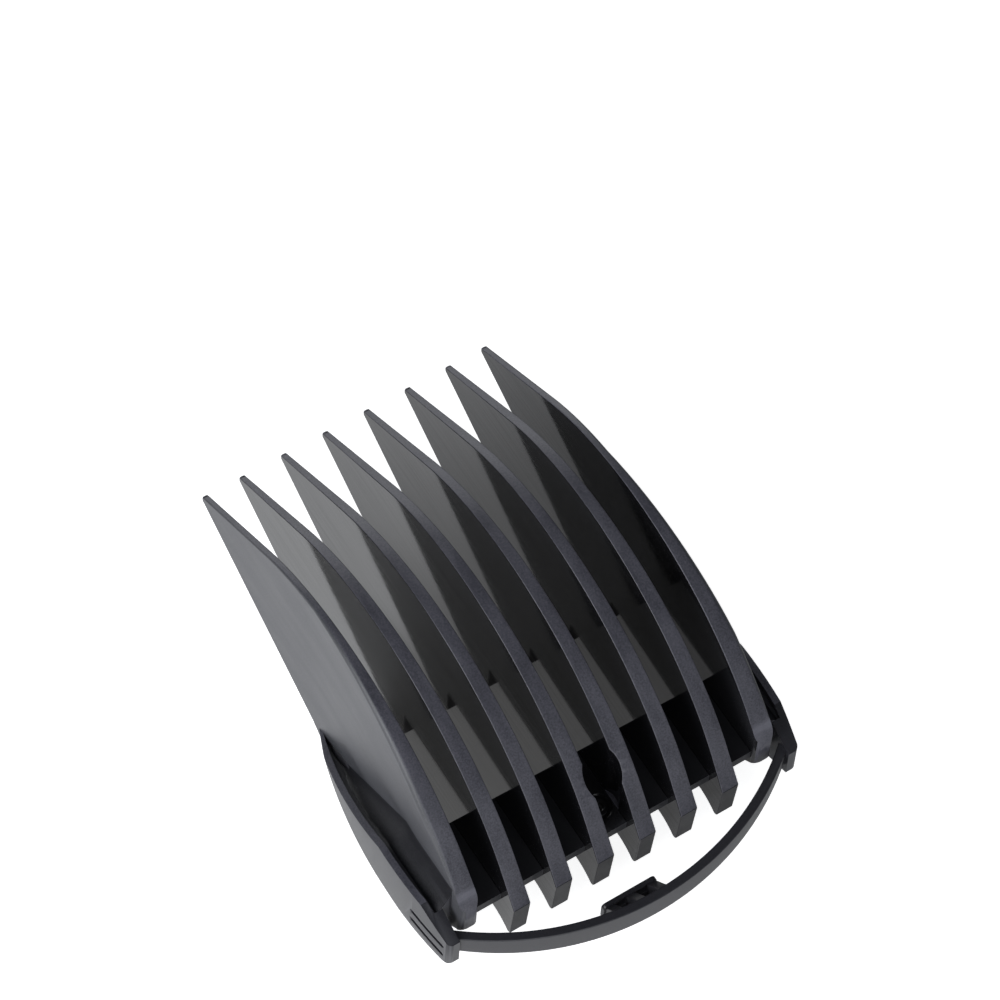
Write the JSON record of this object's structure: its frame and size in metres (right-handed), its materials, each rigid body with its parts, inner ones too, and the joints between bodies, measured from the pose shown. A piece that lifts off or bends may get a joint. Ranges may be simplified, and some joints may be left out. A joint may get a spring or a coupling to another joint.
{
  "type": "hair clipper guide comb",
  "caption": "Clip-on guide comb for a hair clipper: tall curved comb plates on a cross web, two grooved side arms and a sprung bow with a catch behind them.",
  "frame": {"origin": "middle of the comb's footprint, on the plane that its feet and arms rest on", "axes": "+X across the comb, +Y from the bow to the tooth tips, +Z from the rest plane to the skin side"},
  "size_m": [0.0524, 0.072, 0.0322],
  "materials": {
    "black_plastic": "polished flanks, fine matte grain on the edges"
  },
  "bodies": {
    "comb": {"left_side_wall": "black_plastic", "right_side_wall": "black_plastic", "comb_tooth_1": "black_plastic", "comb_tooth_2": "black_plastic", "comb_tooth_3": "black_plastic", "comb_tooth_4": "black_plastic", "comb_tooth_5": "black_plastic", "comb_tooth_6": "black_plastic", "cross_web_1": "black_plastic", "cross_web_2": "black_plastic", "cross_web_3": "black_plastic", "cross_web_4": "black_plastic", "cross_web_5": "black_plastic", "cross_web_6": "black_plastic", "cross_web_7": "black_plastic", "left_arm": "black_plastic", "right_arm": "black_plastic"},
    "bow": {"bow": "black_plastic", "catch_wall": "black_plastic", "catch_rib_left": "black_plastic", "catch_rib_middle": "black_plastic", "catch_rib_right": "black_plastic"}
  },
  "joints": [
    {"name": "bow_flex", "type": "hinge", "parent": "comb", "child": "bow", "pos_m": [0, -0.027, 0.0088], "axis": [1, 0, 0], "range_deg": [-8, 8], "stiffness_Nm_per_rad": 0.3}
  ]
}
